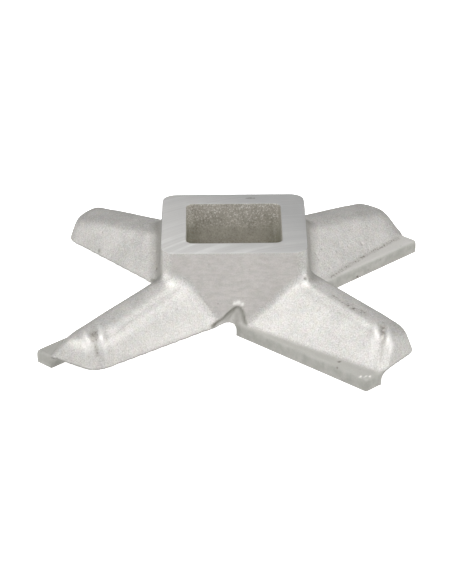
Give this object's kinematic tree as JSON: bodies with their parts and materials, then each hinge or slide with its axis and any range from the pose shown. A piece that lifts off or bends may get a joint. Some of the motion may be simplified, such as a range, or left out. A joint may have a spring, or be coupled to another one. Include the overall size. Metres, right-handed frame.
{
  "type": "meat grinder knife",
  "caption": "Cross-shaped cast cutter for a meat grinder, with a raised square hub, a square drive hole and flat cutting lands along its arms.",
  "frame": {"origin": "on the knife's axis, in its cutting plane, where the ground lands touch the plate", "axes": "+Z along the axis towards the top of the hub; X and Y square to the sides of the hub and of its drive hole; the arms lie on the diagonals"},
  "size_m": [0.077, 0.077, 0.0181],
  "materials": {
    "cast_steel": "shot-blasted casting, light grey, with a milled hub top and ground cutting lands"
  },
  "bodies": {
    "root": {"knife": "cast_steel"}
  },
  "joints": []
}
